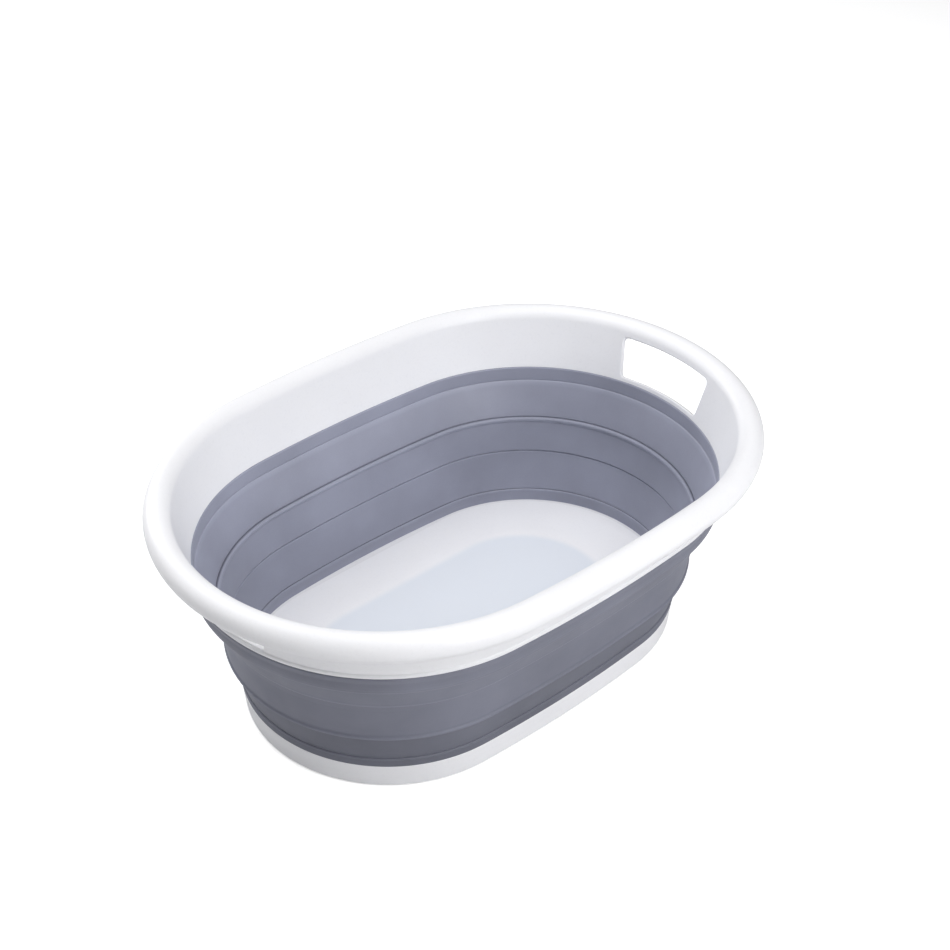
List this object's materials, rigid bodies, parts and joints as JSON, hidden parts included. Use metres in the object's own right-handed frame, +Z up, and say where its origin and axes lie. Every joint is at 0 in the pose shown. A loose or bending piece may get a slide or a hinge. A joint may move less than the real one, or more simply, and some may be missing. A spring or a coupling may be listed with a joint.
{
  "type": "foot spa basin",
  "caption": "Collapsible oval foot soaking basin with a rolled rim, handle windows, soft folding walls and a rigid base tray.",
  "frame": {"origin": "centre of the basin's plan, on the ground, at the underside of the grip pads", "axes": "+Z up, X along the long axis through both handle windows, Y across; basin standing open"},
  "size_m": [0.5618, 0.4022, 0.2111],
  "materials": {
    "white_pp": "smooth satin white polypropylene",
    "soft_grey": "fine matte blue-grey soft plastic",
    "pad_grey": "matte grey soft plastic"
  },
  "bodies": {
    "base": {"base_tray": "white_pp", "foot_pads": "pad_grey", "lower_bond_strip": "soft_grey", "lower_fold_band": "soft_grey"},
    "ring": {"middle_ring": "soft_grey", "upper_fold_band": "soft_grey"},
    "rim": {"rim_frame": "white_pp", "upper_bond_strip": "soft_grey"}
  },
  "joints": [
    {"name": "lower_fold", "type": "slide", "parent": "base", "child": "ring", "axis": [0, 0, 1], "range_m": [-0.0625, 0], "deforming": ["lower_fold_band"]},
    {"name": "upper_fold", "type": "slide", "parent": "ring", "child": "rim", "axis": [0, 0, 1], "range_m": [-0.066, 0], "deforming": ["upper_fold_band"]}
  ]
}
